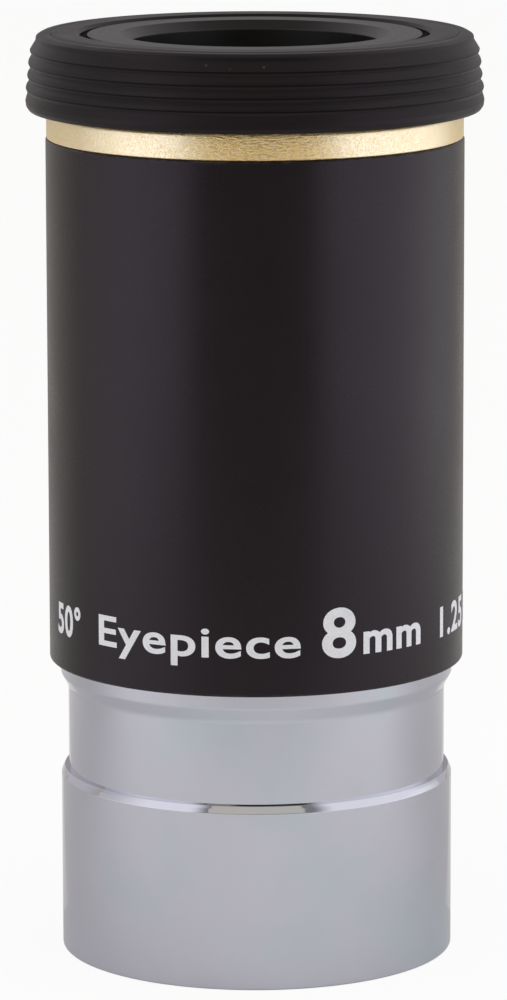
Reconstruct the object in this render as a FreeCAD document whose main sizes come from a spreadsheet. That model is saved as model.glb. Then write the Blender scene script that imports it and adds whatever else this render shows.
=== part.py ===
import FreeCAD, Part
import math
import os

import Sketcher

# Telescope eyepiece, 1.25 inch push fit, with a fold-down rubber eyecup.
#
# Frame: millimetres, +Z from the telescope towards the eye. The origin is the
# centre of the barrel's open end, so the whole eyepiece stands on z = 0.
# Every piece is a body of revolution about Z; the three screwed rings also
# have two spanner slots. Threads are drawn as plain cylinders at the thread's
# working diameter.

doc = FreeCAD.newDocument("eyepiece")

# ---------------------------------------------------------------------------
# Driving dimensions
# ---------------------------------------------------------------------------

# alias, value, what it is
DIMENSIONS = [
    # shared by several pieces
    ("slip_gap", 0.05, "radial gap between a bore and the part inside it"),
    ("seat_gap", 0.02, "axial gap at faces that bear on each other"),
    ("edge_break", 0.15, "small chamfer on turned edges"),
    ("thread_break", 0.30, "chamfer at the ends of the body thread"),
    ("knife_land", 0.20, "straight height of a knife-edge aperture"),
    ("slot_width", 1.20, "spanner slots"),
    ("slot_depth", 0.60, "depth of the spanner slots"),
    ("slot_overrun", 1.00, "how far the slot cut runs past the ring's rim"),
    ("slot_undercut", 0.50, "how far a cut from below starts under the ring"),
    # nose barrel
    ("barrel_radius", 15.85, "1.25 inch push fit, 31.7 mm across"),
    ("barrel_wall_radius", 13.50, "inside of the barrel"),
    ("undercut_radius", 15.24, "bottom of the safety undercut"),
    ("undercut_bevel_z", 14.35, "where the barrel starts to break into the undercut"),
    ("undercut_bevel_height", 0.44, "height of that first, steep bevel"),
    ("undercut_lip_inset", 0.26, "inset of the barrel at the end of its second bevel"),
    ("undercut_lip_drop", 0.07, "drop from the undercut floor to that point"),
    ("undercut_low_z", 15.05, "lower edge of the undercut floor"),
    ("undercut_high_z", 21.68, "upper edge of the undercut floor"),
    ("undercut_cone_z", 22.75, "top of the cone that leads out of the undercut"),
    ("seat_z", 23.94, "joint face between the barrel and the body"),
    ("spigot_radius", 14.45, "male thread that carries the body"),
    ("spigot_relief_radius", 14.00, "thread run-out groove"),
    ("spigot_relief_z", 24.60, "top of the run-out groove"),
    ("spigot_top_z", 28.24, "top of the spigot"),
    ("filter_radius", 13.93, "minor radius of the M28.5 x 0.6 filter thread"),
    ("filter_depth", 4.20, "depth of the filter thread"),
    ("filter_relief_radius", 14.35, "run-out groove behind the filter thread"),
    ("filter_relief_z", 4.90, "top of that groove"),
    ("filter_lead", 0.32, "lead-in chamfer of the filter thread"),
    # nose lens cell
    ("cell_low_z", 5.40, "bottom of the nose lens cell"),
    ("cell_high_z", 13.60, "top of the nose lens cell"),
    ("cell_lip_radius", 8.60, "aperture of the cell"),
    ("cell_lip_z", 6.60, "seat of the nose doublet"),
    ("cell_lens_z", 11.90, "end of the lens bore, start of the ring bore"),
    ("cell_ring_radius", 10.95, "bore for the cell's retaining ring"),
    ("nose_lens_radius", 10.00, "nose lenses"),
    ("nose_flint_top_z", 11.20, "rim height of the negative lens"),
    ("nose_outer_curve", 38.0, "first surface, concave"),
    ("nose_cement_curve", 24.0, "cemented surface"),
    ("nose_inner_curve", 60.0, "last surface of the nose doublet, concave"),
    ("nose_ring_bore", 8.80, "bore of the nose retaining ring"),
    ("nose_ring_high_z", 13.30, "top of the nose retaining ring"),
    ("lock_ring_bore", 11.40, "bore of the cell's lock ring"),
    ("lock_ring_low_z", 13.64, "underside of the lock ring"),
    ("lock_ring_high_z", 14.90, "top of the lock ring"),
    ("baffle_low_z", 19.50, "underside of the barrel baffle"),
    ("baffle_high_z", 20.70, "top of the barrel baffle"),
    ("baffle_bore", 8.00, "aperture of the barrel baffle"),
    ("baffle_cone_radius", 10.20, "outer end of the baffle's knife-edge cone"),
    # field stop
    ("stop_radius", 14.40, "outside of the field stop"),
    ("stop_bore", 6.40, "field aperture"),
    ("stop_cone_radius", 8.40, "outer end of the stop's knife-edge cone"),
    ("stop_thickness", 1.40, "height of the field stop"),
    # body shell
    ("body_radius", 16.73, "outside of the black body"),
    ("body_top_z", 66.15, "top of the black body"),
    ("thread_bore", 14.48, "female thread for the spigot"),
    ("thread_top_z", 30.20, "end of that thread"),
    ("ledge_bore", 14.80, "bore below the lens tube"),
    ("ledge_z", 39.90, "ledge that the lens tube stands on"),
    ("tube_bore", 15.25, "bore round the lens tube"),
    # lens tube
    ("neck_radius", 14.60, "threaded neck of the lens tube"),
    ("neck_low_z", 66.10, "foot of the neck"),
    ("neck_high_z", 69.40, "top of the neck"),
    ("stack_ring_bore", 12.65, "threaded counterbore under the stack"),
    ("stack_low_z", 48.30, "underside of the lens stack"),
    ("stack_ring_hole", 10.20, "bore of the stack's retaining ring"),
    ("stack_ring_height", 1.40, "height of the stack's retaining ring"),
    # lens stack, all the same radius
    ("lens_radius", 12.00, "lenses above the field stop"),
    ("flint_low_curve", 90.0, "field side of the doublet, concave"),
    ("doublet_cement_curve", 26.0, "cemented surface"),
    ("flint_rim_z", 53.03, "rim height of the flint"),
    ("crown_rim_z", 54.66, "rim height of the crown"),
    ("crown_top_curve", 26.0, "eye side of the doublet, convex"),
    ("middle_low_z", 59.25, "lower rim of the middle lens"),
    ("middle_high_z", 61.25, "upper rim of the middle lens"),
    ("middle_low_curve", 60.0, "field side of the middle lens, convex"),
    ("middle_top_curve", 32.0, "eye side of the middle lens, convex"),
    ("eye_low_z", 66.60, "lower rim of the eye lens"),
    ("eye_high_z", 69.50, "upper rim of the eye lens"),
    ("eye_low_curve", 30.0, "field side of the eye lens, convex"),
    ("eye_top_curve", 70.0, "eye side of the eye lens, convex"),
    # spacers: each cone is measured at the bore, from the rim of its lens
    ("spacer_bore", 11.00, "inside of both spacer rings"),
    ("crown_cone", 0.54, "lower spacer, rise above the crown's rim"),
    ("middle_low_cone", 0.22, "lower spacer, drop below the middle lens's rim"),
    ("middle_high_cone", 0.42, "upper spacer, rise above the middle lens's rim"),
    ("eye_cone", 0.46, "upper spacer, drop below the eye lens's rim"),
    # gold trim ring
    ("trim_radius", 16.66, "outside of the gold ring"),
    ("trim_high_z", 68.55, "top of the gold ring"),
    ("trim_break", 0.12, "chamfers of the gold ring"),
    # eye lens cap
    ("collar_radius", 15.50, "collar that clamps the trim ring"),
    ("collar_high_z", 70.40, "top of the collar, seat of the eyecup"),
    ("groove_radius", 13.40, "groove that holds the eyecup"),
    ("groove_high_z", 71.90, "top of the eyecup groove"),
    ("keeper_radius", 13.90, "bead that keeps the eyecup on"),
    ("keeper_high_z", 72.70, "top of the bead"),
    ("keeper_bevel", 0.20, "height of the bevel on top of the bead"),
    ("face_radius", 13.35, "rim of the flat face round the eye opening"),
    ("face_z", 74.40, "flat face round the eye opening"),
    ("bevel_radius", 10.80, "outer edge of the eye opening's bevel"),
    ("bevel_low_z", 73.70, "lower edge of that bevel"),
    ("eye_opening_radius", 10.00, "eye opening"),
    ("eye_opening_low_z", 71.60, "lower end of the straight eye opening"),
    ("clamp_radius", 11.30, "inner edge of the shoulder on the eye lens"),
    ("clamp_z", 69.66, "shoulder over the eye lens"),
    # seat ring of the rubber eyecup
    ("cup_seat_radius", 15.55, "outside of the eyecup's seat ring"),
    ("cup_seat_top_z", 74.55, "top of the seat ring"),
    ("cup_flange_radius", 16.22, "outside of the seat ring's flange"),
    ("cup_flange_z", 73.45, "underside of that flange, at its rim"),
    ("cup_flange_slope", 0.15, "drop of the underside towards the seat ring"),
    ("cup_flange_break", 0.12, "chamfer round the flange's top"),
    ("cup_bore_bevel", 0.25, "height of the bevel at the top of the bore"),
    ("cup_bore_flare", 0.25, "width from the bead to the top of that bevel"),
    # skirt of the rubber eyecup
    ("skirt_web_z", 73.40, "underside of the web"),
    ("skirt_top_z", 74.50, "top of the rolled rim"),
    ("skirt_low_z", 68.40, "lip of the folded skirt"),
    ("skirt_wall_radius", 16.90, "inside of the skirt under the web"),
    ("skirt_lip_bore", 17.25, "inside of the skirt at its lip"),
    ("skirt_lip_radius", 18.29, "widest point, on the lip"),
    ("skirt_rim_radius", 17.46, "shoulder of the rolled rim"),
    ("rim_bore_drop", 0.22, "drop from the rim's top to its inner edge"),
    ("rim_top_inset", 0.40, "inset of the rim's top from its shoulder"),
    ("rim_shoulder_drop", 0.31, "drop from the rim's top to its shoulder"),
    ("rim_foot_drop", 0.60, "drop from the rim's top to the shoulder's foot"),
    ("lip_side_inset", 0.12, "inset of the lip where its edge starts to turn in"),
    ("lip_side_rise", 0.14, "height of that point above the lip's end"),
    ("lip_end_inset", 0.30, "inset of the outer edge of the lip's end"),
    ("rib_pitch", 1.00, "distance between the skirt's ribs"),
    ("rib_first_z", 73.19, "crest of the top rib"),
    ("rib_first_radius", 17.90, "radius of the top rib"),
    ("rib_growth", 0.117, "how much wider each rib is than the one above"),
    ("rib_depth", 0.165, "depth of the grooves between ribs"),
    ("rib_fall", 0.41, "drop from a crest to the groove under it"),
]
UPPER_RIBS = 4  # ribs above the one on the skirt's lip


class Size:
    """A size as its number and as the sheet expression that drives it."""

    def __init__(self, number, text):
        self.number = number
        self.text = text

    def __add__(self, other):
        other = as_size(other)
        return Size(self.number + other.number, "(%s + %s)" % (self.text, other.text))

    def __sub__(self, other):
        other = as_size(other)
        return Size(self.number - other.number, "(%s - %s)" % (self.text, other.text))

    def __mul__(self, other):
        other = as_size(other)
        return Size(self.number * other.number, "(%s * %s)" % (self.text, other.text))


def as_size(value):
    if isinstance(value, Size):
        return value
    return Size(float(value), "%.4f" % value)


class Dims:
    """The sheet's dimensions, each a Size under its alias."""


sheet = doc.addObject("Spreadsheet::Sheet", "Dims")
sheet.set("A1", "name")
sheet.set("B1", "value")
sheet.set("C1", "what it is")
for row, (name, value, note) in enumerate(DIMENSIONS, start=2):
    sheet.set("A%d" % row, name)
    sheet.set("B%d" % row, repr(value))
    sheet.set("C%d" % row, note)
    sheet.setAlias("B%d" % row, name)
    setattr(Dims, name, Size(value, "Dims." + name))
doc.recompute()

GAP = Dims.slip_gap
SEAT = Dims.seat_gap
EDGE = Dims.edge_break

# ---------------------------------------------------------------------------
# Building blocks
# ---------------------------------------------------------------------------

# Sketcher's numbers for the sketch's own geometry and for points of an edge
X_AXIS, Y_AXIS = -1, -2
ORIGIN = (-1, 1)
START, END, CENTRE = 1, 2, 3


def new_sketch(body, suffix, role):
    """An empty sketch on the body's origin plane of that role."""
    sketch = body.newObject("Sketcher::SketchObject", body.Name + suffix)
    plane = next(item for item in body.Origin.OriginFeatures if item.Role == role)
    sketch.AttachmentSupport = [(plane, "")]
    sketch.MapMode = "FlatFace"
    return sketch


def line(start, end):
    return Part.LineSegment(FreeCAD.Vector(*start, 0), FreeCAD.Vector(*end, 0))


def vertex_height(rim, curve, side):
    """Height on the axis of an arc that starts at the rim point."""
    radius, height = rim[0].number, rim[1].number
    sagitta = curve.number - math.sqrt(curve.number ** 2 - radius ** 2)
    return height + (sagitta if side == "below" else -sagitta)


def lens_arc(start, end, curve, side):
    """Arc between a rim and its vertex on the axis, and its point number at start."""
    vertex, rim = (start, end) if start[0] == 0.0 else (end, start)
    middle = vertex[1] + (-curve.number if side == "below" else curve.number)
    rim_angle = math.atan2(rim[1] - middle, rim[0])
    circle = Part.Circle(FreeCAD.Vector(0, middle, 0), FreeCAD.Vector(0, 0, 1), curve.number)
    if side == "below":
        arc, vertex_end = Part.ArcOfCircle(circle, rim_angle, math.pi / 2), END
    else:
        arc, vertex_end = Part.ArcOfCircle(circle, -math.pi / 2, rim_angle), START
    return arc, vertex_end if start[0] == 0.0 else START + END - vertex_end


def profile_sketch(body, points, arcs):
    """A closed half section in the XZ plane, radius across and height up.

    points: (radius, height) pairs. A height of None is a lens vertex
    on the axis, placed by the arc that meets it.
    arcs: {index: (curve, side)}; the edge from points[index] to the next one
    is an arc of that radius, its centre on the axis, above or below it.
    """
    sketch = new_sketch(body, "_profile", "XZ_Plane")
    points = [(as_size(radius), None if height is None else as_size(height))
              for radius, height in points]
    count = len(points)

    # numbers for a first guess, which the constraints then hold exactly
    spots = []
    for index, (radius, height) in enumerate(points):
        if height is not None:
            spot_height = height.number
        elif (index - 1) % count in arcs:
            spot_height = vertex_height(points[index - 1], *arcs[(index - 1) % count])
        else:
            spot_height = vertex_height(points[(index + 1) % count], *arcs[index])
        spots.append((radius.number, spot_height))

    first_ends = []  # for each edge, the point number of its first end
    for index in range(count):
        start, end = spots[index], spots[(index + 1) % count]
        if index in arcs:
            edge, first = lens_arc(start, end, *arcs[index])
        else:
            edge, first = line(start, end), START
        sketch.addGeometry(edge, False)
        first_ends.append(first)

    rules = []
    bound = []  # (constraint number, expression)

    def add_rule(*rule, expression=None):
        if expression is not None:
            bound.append((len(rules), expression))
        rules.append(Sketcher.Constraint(*rule))

    for index, first in enumerate(first_ends):
        follower = (index + 1) % count
        add_rule("Coincident", index, START + END - first, follower, first_ends[follower])

    for index, (radius, height) in enumerate(points):
        end = first_ends[index]
        straight = index > 0 and (index - 1) not in arcs
        last_radius, last_height = points[index - 1]
        if radius.number == 0.0:
            add_rule("PointOnObject", index, end, Y_AXIS)
        elif straight and last_radius.text == radius.text:
            add_rule("Vertical", index - 1)
        else:
            add_rule("DistanceX", *ORIGIN, index, end, radius.number, expression=radius.text)
        if height is None:
            continue
        if height.number == 0.0:
            add_rule("PointOnObject", index, end, X_AXIS)
        elif straight and last_height is not None and last_height.text == height.text:
            add_rule("Horizontal", index - 1)
        else:
            add_rule("DistanceY", *ORIGIN, index, end, height.number, expression=height.text)

    for index, (curve, _) in arcs.items():
        add_rule("PointOnObject", index, CENTRE, Y_AXIS)
        add_rule("Radius", index, curve.number, expression=curve.text)

    sketch.addConstraint(rules)
    for number, expression in bound:
        sketch.renameConstraint(number, "size_%d" % number)
        sketch.setExpression("Constraints.size_%d" % number, expression)
    return sketch


def turned(name, points, arcs=None):
    """A piece turned from its half section."""
    body = doc.addObject("PartDesign::Body", name)
    body.Label = name
    sketch = profile_sketch(body, points, arcs or {})
    turn = body.newObject("PartDesign::Revolution", name + "_turned")
    turn.Profile = sketch
    turn.ReferenceAxis = (sketch, ["V_Axis"])
    turn.Angle = 360.0
    body.Tip = turn
    doc.recompute()
    return body


def plain_ring(name, bore, outside, low, high):
    """A ring of rectangular section."""
    return turned(name, [(bore, low), (outside, low), (outside, high), (bore, high)])


def lens(name, radius, low, high, low_arc, high_arc):
    """A lens between two rim heights; each arc is (curve, side of its centre)."""
    points = [(0, None), (radius, low), (radius, high), (0, None)]
    return turned(name, points, {0: low_arc, 2: high_arc})


def spacer(name, low, low_cone, high, high_cone):
    """A spacer between two lens rims, with conical ends that meet the lens surfaces."""
    return turned(name, [
        (Dims.spacer_bore, low + low_cone),
        (Dims.lens_radius, low + SEAT),
        (Dims.lens_radius, high - SEAT),
        (Dims.spacer_bore, high - high_cone),
    ])


def spanner_slots(body, outside, top, depth):
    """Two slots for a pin spanner: one cut across the ring, from top downwards."""
    before = body.Shape.Volume
    reach = outside + Dims.slot_overrun
    width = Dims.slot_width
    sketch = new_sketch(body, "_slots", "XY_Plane")
    sketch.setExpression(".AttachmentOffset.Base.z", top.text)
    half_x, half_y = reach.number, width.number / 2.0
    corners = [(-half_x, -half_y), (half_x, -half_y), (half_x, half_y), (-half_x, half_y)]
    for index in range(4):
        sketch.addGeometry(line(corners[index], corners[(index + 1) % 4]), False)
    for index in range(4):
        sketch.addConstraint(
            Sketcher.Constraint("Coincident", index, END, (index + 1) % 4, START))
    for direction, index in (("Horizontal", 0), ("Horizontal", 2), ("Vertical", 1),
                             ("Vertical", 3)):
        sketch.addConstraint(Sketcher.Constraint(direction, index))
    sketch.addConstraint(Sketcher.Constraint("Symmetric", 0, START, 2, START, *ORIGIN))
    for name, direction, index, length, expression in (
        ("slot_length", "DistanceX", 0, 2 * half_x, (reach * 2).text),
        ("slot_width", "DistanceY", 1, 2 * half_y, width.text),
    ):
        number = sketch.addConstraint(
            Sketcher.Constraint(direction, index, START, index, END, length))
        sketch.renameConstraint(number, name)
        sketch.setExpression("Constraints." + name, expression)
    doc.recompute()
    pocket = body.newObject("PartDesign::Pocket", body.Name + "_slot_cut")
    pocket.Profile = sketch
    pocket.Type = "Length"
    pocket.Length = depth.number
    pocket.setExpression("Length", depth.text)
    body.Tip = pocket
    doc.recompute()
    if not body.Shape.Volume < before - 0.5:
        raise RuntimeError(body.Label + ": the slots cut nothing")


# ---------------------------------------------------------------------------
# Nose: push-fit barrel and what is mounted in it
# ---------------------------------------------------------------------------

barrel_top = Dims.seat_z - SEAT
spigot_neck = Dims.spigot_radius - Dims.thread_break
turned("barrel", [
    # outside, upwards
    (Dims.barrel_radius - EDGE, 0),
    (Dims.barrel_radius, EDGE),
    (Dims.barrel_radius, Dims.undercut_bevel_z),
    (Dims.barrel_radius - EDGE, Dims.undercut_bevel_z + Dims.undercut_bevel_height),
    (Dims.barrel_radius - Dims.undercut_lip_inset,
     Dims.undercut_low_z - Dims.undercut_lip_drop),
    (Dims.undercut_radius, Dims.undercut_low_z),
    (Dims.undercut_radius, Dims.undercut_high_z),
    (Dims.barrel_radius, Dims.undercut_cone_z),
    (Dims.barrel_radius, barrel_top),
    # spigot that screws into the body
    (Dims.spigot_relief_radius, barrel_top),
    (Dims.spigot_relief_radius, Dims.spigot_relief_z),
    (spigot_neck, Dims.spigot_relief_z),
    (Dims.spigot_radius, Dims.spigot_relief_z + Dims.thread_break),
    (Dims.spigot_radius, Dims.spigot_top_z - Dims.thread_break),
    (spigot_neck, Dims.spigot_top_z),
    # inside, downwards
    (Dims.barrel_wall_radius, Dims.spigot_top_z),
    (Dims.barrel_wall_radius, Dims.filter_relief_z),
    (Dims.filter_relief_radius, Dims.filter_relief_z),
    (Dims.filter_relief_radius, Dims.filter_depth),
    (Dims.filter_radius, Dims.filter_depth),
    (Dims.filter_radius, Dims.filter_lead),
    (Dims.filter_radius + Dims.filter_lead, 0),
])

cell_radius = Dims.barrel_wall_radius - GAP
cell_lens_bore = Dims.nose_lens_radius + GAP
turned("nose_lens_cell", [
    (Dims.cell_lip_radius, Dims.cell_low_z),
    (cell_radius, Dims.cell_low_z),
    (cell_radius, Dims.cell_high_z),
    (Dims.cell_ring_radius, Dims.cell_high_z),
    (Dims.cell_ring_radius, Dims.cell_lens_z),
    (cell_lens_bore, Dims.cell_lens_z),
    (cell_lens_bore, Dims.cell_lip_z),
    (Dims.cell_lip_radius, Dims.cell_lip_z),
])

# cemented negative doublet: two glasses with the seat gap between them
lens("nose_negative_lens", Dims.nose_lens_radius,
     Dims.cell_lip_z + SEAT, Dims.nose_flint_top_z,
     (Dims.nose_outer_curve, "below"), (Dims.nose_cement_curve, "above"))
lens("nose_positive_lens", Dims.nose_lens_radius,
     Dims.nose_flint_top_z + SEAT, Dims.cell_lens_z,
     (Dims.nose_cement_curve, "above"), (Dims.nose_inner_curve, "above"))

nose_ring_radius = Dims.cell_ring_radius - GAP
nose_retaining_ring = plain_ring(
    "nose_retaining_ring", Dims.nose_ring_bore, nose_ring_radius,
    Dims.cell_lens_z + SEAT, Dims.nose_ring_high_z)
spanner_slots(nose_retaining_ring, nose_ring_radius, Dims.nose_ring_high_z, Dims.slot_depth)

nose_lock_ring = plain_ring(
    "nose_lock_ring", Dims.lock_ring_bore, cell_radius,
    Dims.lock_ring_low_z, Dims.lock_ring_high_z)
spanner_slots(nose_lock_ring, cell_radius, Dims.lock_ring_high_z, Dims.slot_depth)

# knife-edge baffle that keeps the wall's glare out of the field
turned("barrel_baffle_ring", [
    (Dims.baffle_bore, Dims.baffle_low_z),
    (cell_radius, Dims.baffle_low_z),
    (cell_radius, Dims.baffle_high_z),
    (Dims.baffle_cone_radius, Dims.baffle_high_z),
    (Dims.baffle_bore, Dims.baffle_low_z + Dims.knife_land),
])

# field stop on top of the spigot
stop_low = Dims.spigot_top_z + SEAT
stop_high = stop_low + Dims.stop_thickness
turned("field_stop_ring", [
    (Dims.stop_bore, stop_low),
    (Dims.stop_radius, stop_low),
    (Dims.stop_radius, stop_high),
    (Dims.stop_cone_radius, stop_high),
    (Dims.stop_bore, stop_low + Dims.knife_land),
])

# ---------------------------------------------------------------------------
# Body: shell, lens tube and the lens stack
# ---------------------------------------------------------------------------

turned("body_shell", [
    (Dims.thread_bore + Dims.thread_break, Dims.seat_z),
    (Dims.body_radius - EDGE, Dims.seat_z),
    (Dims.body_radius, Dims.seat_z + EDGE),
    (Dims.body_radius, Dims.body_top_z - EDGE),
    (Dims.body_radius - EDGE, Dims.body_top_z),
    (Dims.tube_bore, Dims.body_top_z),
    (Dims.tube_bore, Dims.ledge_z),
    (Dims.ledge_bore, Dims.ledge_z),
    (Dims.ledge_bore, Dims.thread_top_z),
    (Dims.thread_bore, Dims.thread_top_z),
    (Dims.thread_bore, Dims.seat_z + Dims.thread_break),
])

tube_low = Dims.ledge_z + GAP
tube_radius = Dims.tube_bore - GAP
stack_bore = Dims.lens_radius + GAP
turned("lens_tube", [
    (Dims.stack_ring_bore, tube_low),
    (tube_radius, tube_low),
    (tube_radius, Dims.neck_low_z),
    (Dims.neck_radius, Dims.neck_low_z),
    (Dims.neck_radius, Dims.neck_high_z - EDGE),
    (Dims.neck_radius - EDGE, Dims.neck_high_z),
    (stack_bore, Dims.neck_high_z),
    (stack_bore, Dims.stack_low_z),
    (Dims.stack_ring_bore, Dims.stack_low_z),
])

stack_ring_radius = Dims.stack_ring_bore - GAP
stack_ring_high = Dims.stack_low_z - SEAT
stack_ring_low = stack_ring_high - Dims.stack_ring_height
lens_tube_retaining_ring = plain_ring(
    "lens_tube_retaining_ring", Dims.stack_ring_hole, stack_ring_radius,
    stack_ring_low, stack_ring_high)
# the spanner comes from below, so these slots are in the ring's underside
spanner_slots(lens_tube_retaining_ring, stack_ring_radius,
              stack_ring_low + Dims.slot_depth, Dims.slot_depth + Dims.slot_undercut)

lens("doublet_flint_lens", Dims.lens_radius, Dims.stack_low_z, Dims.flint_rim_z,
     (Dims.flint_low_curve, "below"), (Dims.doublet_cement_curve, "above"))
lens("doublet_crown_lens", Dims.lens_radius, Dims.flint_rim_z + SEAT, Dims.crown_rim_z,
     (Dims.doublet_cement_curve, "above"), (Dims.crown_top_curve, "below"))
spacer("lower_spacer_ring", Dims.crown_rim_z, Dims.crown_cone,
       Dims.middle_low_z, Dims.middle_low_cone)
lens("middle_lens", Dims.lens_radius, Dims.middle_low_z, Dims.middle_high_z,
     (Dims.middle_low_curve, "above"), (Dims.middle_top_curve, "below"))
spacer("upper_spacer_ring", Dims.middle_high_z, Dims.middle_high_cone,
       Dims.eye_low_z, Dims.eye_cone)
lens("eye_lens", Dims.lens_radius, Dims.eye_low_z, Dims.eye_high_z,
     (Dims.eye_low_curve, "above"), (Dims.eye_top_curve, "below"))

# ---------------------------------------------------------------------------
# Eye end: gold trim ring, cap and rubber eyecup
# ---------------------------------------------------------------------------

trim_bore = Dims.neck_radius + GAP
trim_low = Dims.body_top_z + SEAT
turned("gold_trim_ring", [
    (trim_bore, trim_low),
    (Dims.trim_radius - Dims.trim_break, trim_low),
    (Dims.trim_radius, trim_low + Dims.trim_break),
    (Dims.trim_radius, Dims.trim_high_z - Dims.trim_break),
    (Dims.trim_radius - Dims.trim_break, Dims.trim_high_z),
    (trim_bore, Dims.trim_high_z),
])

cap_low = Dims.trim_high_z + SEAT
turned("eye_lens_cap", [
    # eye opening, upwards
    (Dims.clamp_radius, Dims.clamp_z),
    (Dims.eye_opening_radius, Dims.eye_opening_low_z),
    (Dims.eye_opening_radius, Dims.bevel_low_z),
    (Dims.bevel_radius, Dims.face_z),
    (Dims.face_radius, Dims.face_z),
    # outside, downwards: bead, eyecup groove, collar
    (Dims.face_radius, Dims.keeper_high_z),
    (Dims.keeper_radius, Dims.keeper_high_z - Dims.keeper_bevel),
    (Dims.keeper_radius, Dims.groove_high_z),
    (Dims.groove_radius, Dims.groove_high_z),
    (Dims.groove_radius, Dims.collar_high_z),
    (Dims.collar_radius, Dims.collar_high_z),
    (Dims.collar_radius, cap_low),
    (trim_bore, cap_low),
    (trim_bore, Dims.clamp_z),
])

# seat ring of the eyecup, stretched over the bead into the groove
cup_groove_bore = Dims.groove_radius + SEAT
cup_bead_bore = Dims.keeper_radius + GAP
cup_low = Dims.collar_high_z + SEAT
cup_hook_z = Dims.groove_high_z - SEAT
turned("eyecup_base", [
    (cup_groove_bore, cup_low),
    (Dims.cup_seat_radius, cup_low),
    (Dims.cup_seat_radius, Dims.cup_flange_z - Dims.cup_flange_slope),
    (Dims.cup_flange_radius, Dims.cup_flange_z),
    (Dims.cup_flange_radius, Dims.cup_seat_top_z - Dims.cup_flange_break),
    (Dims.cup_flange_radius - Dims.cup_flange_break, Dims.cup_seat_top_z),
    (Dims.keeper_radius + Dims.cup_bore_flare, Dims.cup_seat_top_z),
    (cup_bead_bore, Dims.cup_seat_top_z - Dims.cup_bore_bevel),
    (cup_bead_bore, cup_hook_z),
    (cup_groove_bore, cup_hook_z),
])

# skirt of the eyecup, folded down: a rolled rim on top and five ribs outside,
# the lowest of them on the lip
skirt_bore = Dims.cup_flange_radius + GAP
skirt = [
    (skirt_bore, Dims.skirt_web_z),
    (skirt_bore, Dims.skirt_top_z - Dims.rim_bore_drop),
    (Dims.skirt_rim_radius - Dims.rim_top_inset, Dims.skirt_top_z),
    (Dims.skirt_rim_radius, Dims.skirt_top_z - Dims.rim_shoulder_drop),
    (Dims.skirt_rim_radius, Dims.skirt_top_z - Dims.rim_foot_drop),
]
for rib in range(UPPER_RIBS):
    crest_radius = Dims.rib_first_radius + Dims.rib_growth * rib
    crest_z = Dims.rib_first_z - Dims.rib_pitch * rib
    skirt.append((crest_radius, crest_z))
    skirt.append((crest_radius - Dims.rib_depth, crest_z - Dims.rib_fall))
skirt += [
    (Dims.skirt_lip_radius, Dims.rib_first_z - Dims.rib_pitch * UPPER_RIBS),
    (Dims.skirt_lip_radius - Dims.lip_side_inset, Dims.skirt_low_z + Dims.lip_side_rise),
    (Dims.skirt_lip_radius - Dims.lip_end_inset, Dims.skirt_low_z),
    (Dims.skirt_lip_bore, Dims.skirt_low_z),
    (Dims.skirt_wall_radius, Dims.skirt_web_z),
]
turned("eyecup_skirt", skirt)

# ---------------------------------------------------------------------------
# Check and export
# ---------------------------------------------------------------------------

doc.recompute()

for item in doc.Objects:
    if "Invalid" in item.State or "Error" in item.State:
        raise RuntimeError("%s failed: %s" % (item.Name, item.State))
    if item.TypeId == "Sketcher::SketchObject" and item.solve() != 0:
        raise RuntimeError("%s does not solve" % item.Name)

bodies = [item for item in doc.Objects if item.TypeId == "PartDesign::Body"]
for body in bodies:
    shape = body.Shape
    if shape.isNull() or not shape.isValid() or len(shape.Solids) != 1:
        raise RuntimeError("%s has no single valid solid" % body.Label)

os.makedirs("parts", exist_ok=True)
for body in bodies:
    body.Shape.exportStep("parts/%s.step" % body.Label)
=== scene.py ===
"""A small eyepiece standing upright on its nose barrel.

The optical axis is +Z and the piece stands on z = 0. The camera looks from -Y (the front)
towards +Y, with +X to its right. From the floor up: chrome barrel, black body with printed
marks, gold ring, and a rubber eyecup folded down round the eye lens.
Names starting with R_ are radii and with Z_ heights, in mm; meshes are built in metres.
"""
import math
from functools import cached_property

import bmesh
import bpy
import numpy as np
from mathutils import Matrix, Vector


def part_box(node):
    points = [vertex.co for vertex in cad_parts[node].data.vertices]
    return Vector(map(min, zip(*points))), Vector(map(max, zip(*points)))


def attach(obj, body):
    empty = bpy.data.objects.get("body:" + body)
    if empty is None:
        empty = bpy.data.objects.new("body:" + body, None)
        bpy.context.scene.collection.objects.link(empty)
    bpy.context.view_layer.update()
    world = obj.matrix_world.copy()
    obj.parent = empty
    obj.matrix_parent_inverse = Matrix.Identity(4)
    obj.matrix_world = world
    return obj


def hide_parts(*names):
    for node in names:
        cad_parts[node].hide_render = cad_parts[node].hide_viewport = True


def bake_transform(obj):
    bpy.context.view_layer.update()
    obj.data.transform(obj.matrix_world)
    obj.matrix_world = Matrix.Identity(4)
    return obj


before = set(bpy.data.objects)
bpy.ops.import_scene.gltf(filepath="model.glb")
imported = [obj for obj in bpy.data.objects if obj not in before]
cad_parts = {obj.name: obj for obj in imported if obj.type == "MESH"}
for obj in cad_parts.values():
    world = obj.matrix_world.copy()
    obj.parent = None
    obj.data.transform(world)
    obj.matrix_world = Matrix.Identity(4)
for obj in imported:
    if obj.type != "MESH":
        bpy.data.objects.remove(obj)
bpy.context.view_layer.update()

MM = 0.001
TURN = 2 * math.pi
scene = bpy.context.scene

# ---------------------------------------------------------------------------
# Driving dimensions, from the frame
# ---------------------------------------------------------------------------


def top_of(node):
    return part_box(node)[1].z / MM


def foot_of(node):
    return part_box(node)[0].z / MM


def reach_of(node):
    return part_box(node)[1].x / MM


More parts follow.
